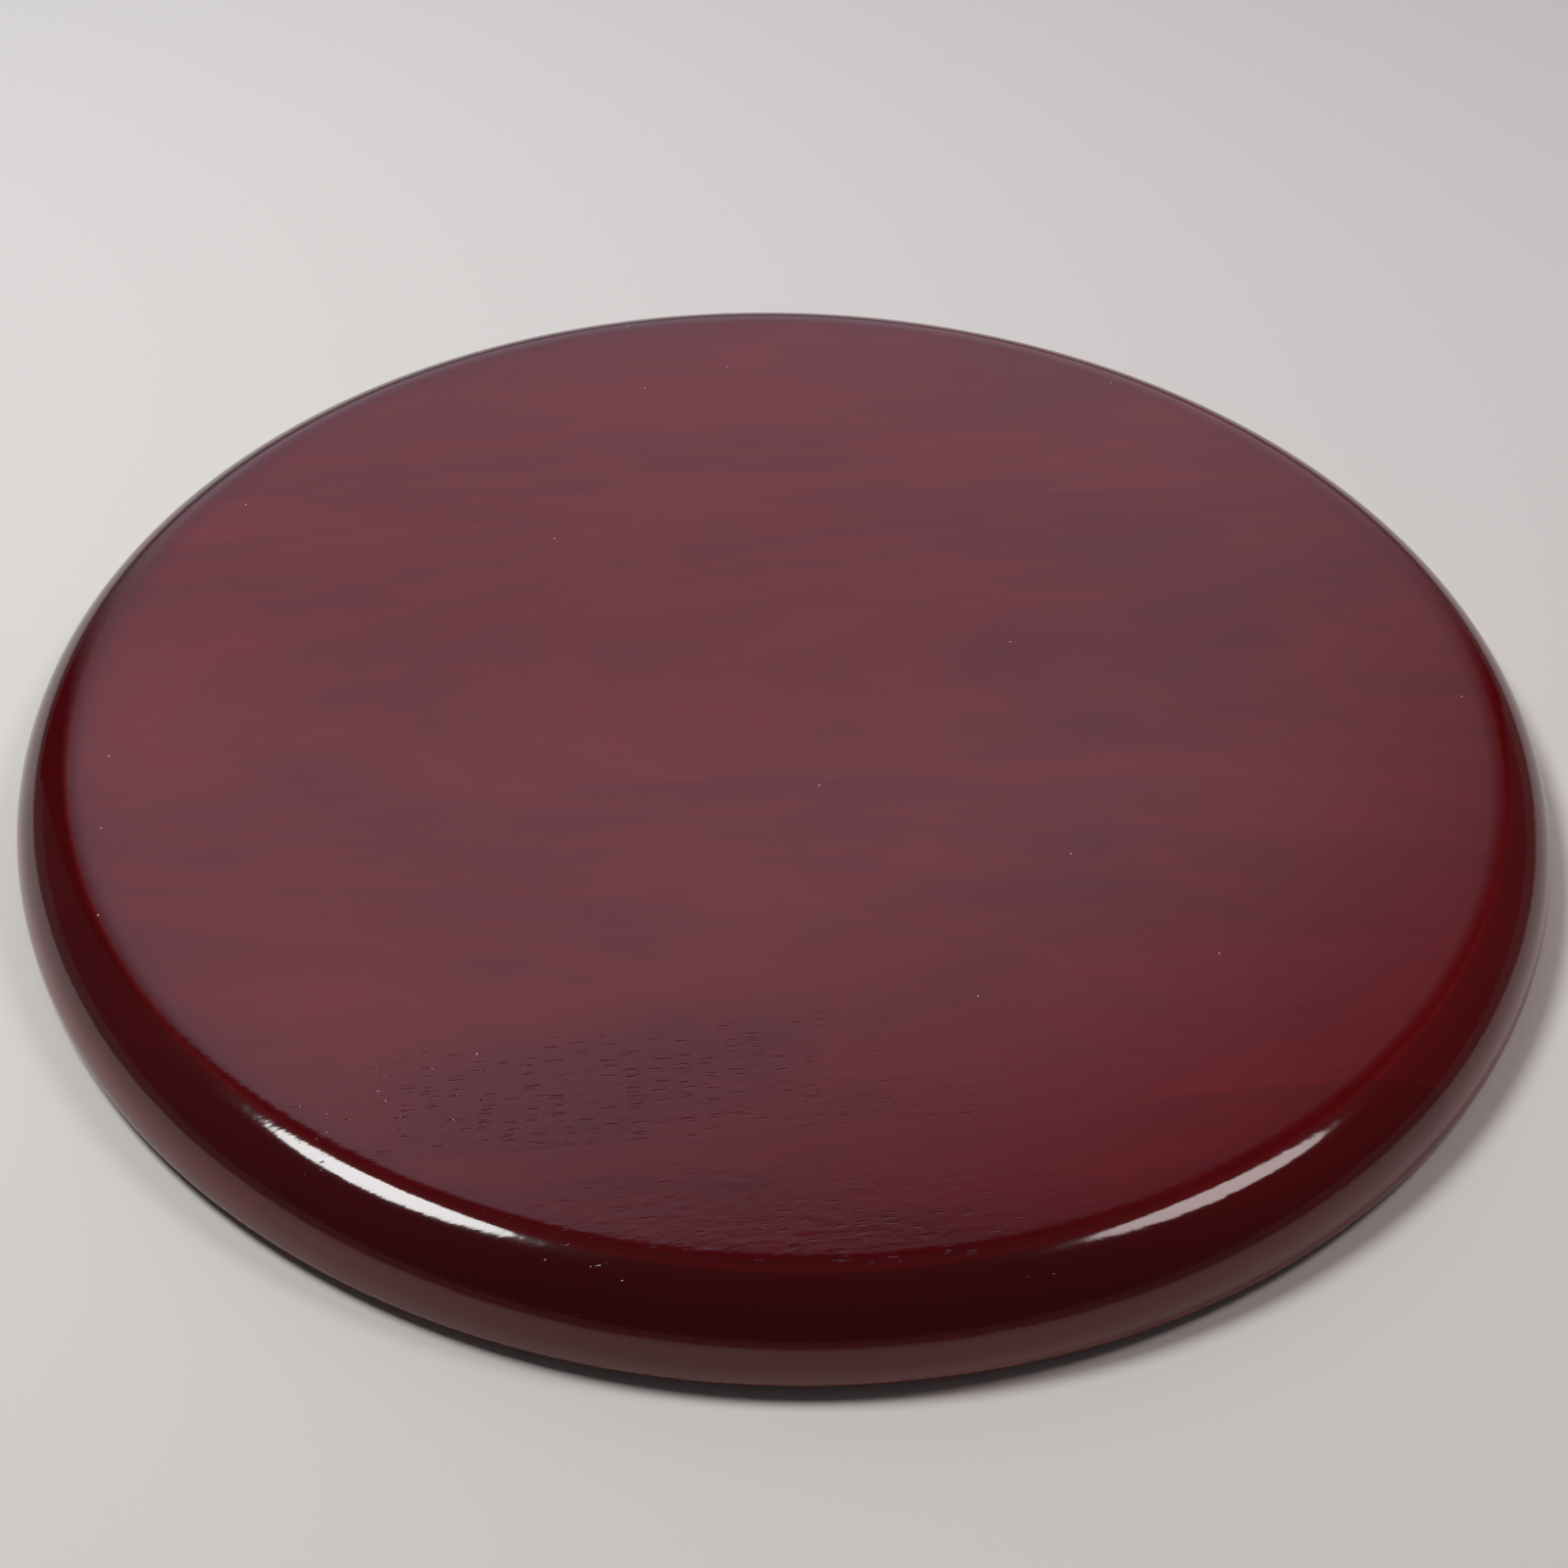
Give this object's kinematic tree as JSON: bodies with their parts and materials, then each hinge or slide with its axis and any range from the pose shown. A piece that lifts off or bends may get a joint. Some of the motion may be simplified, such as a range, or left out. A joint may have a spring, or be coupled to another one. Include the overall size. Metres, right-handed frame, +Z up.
{
  "type": "offering plate",
  "caption": "Flat round wooden offering plate: a solid disc of edge-glued boards with a rolled rim, glossy red mahogany lacquer, and felt underneath.",
  "frame": {"origin": "centre of the felt's lower face, where the plate rests", "axes": "+Z up through the flat top face; X along the grain and the glue lines; -Y towards the front board"},
  "size_m": [0.3, 0.3, 0.018],
  "materials": {
    "lacquered_wood": "red mahogany stain under clear high-gloss lacquer, rubbed thin along the rim's arris",
    "felt": "pressed wool felt, matt"
  },
  "bodies": {
    "root": {"front_board": "lacquered_wood", "front_centre_board": "lacquered_wood", "back_centre_board": "lacquered_wood", "back_board": "lacquered_wood", "felt_base": "felt"}
  },
  "joints": []
}
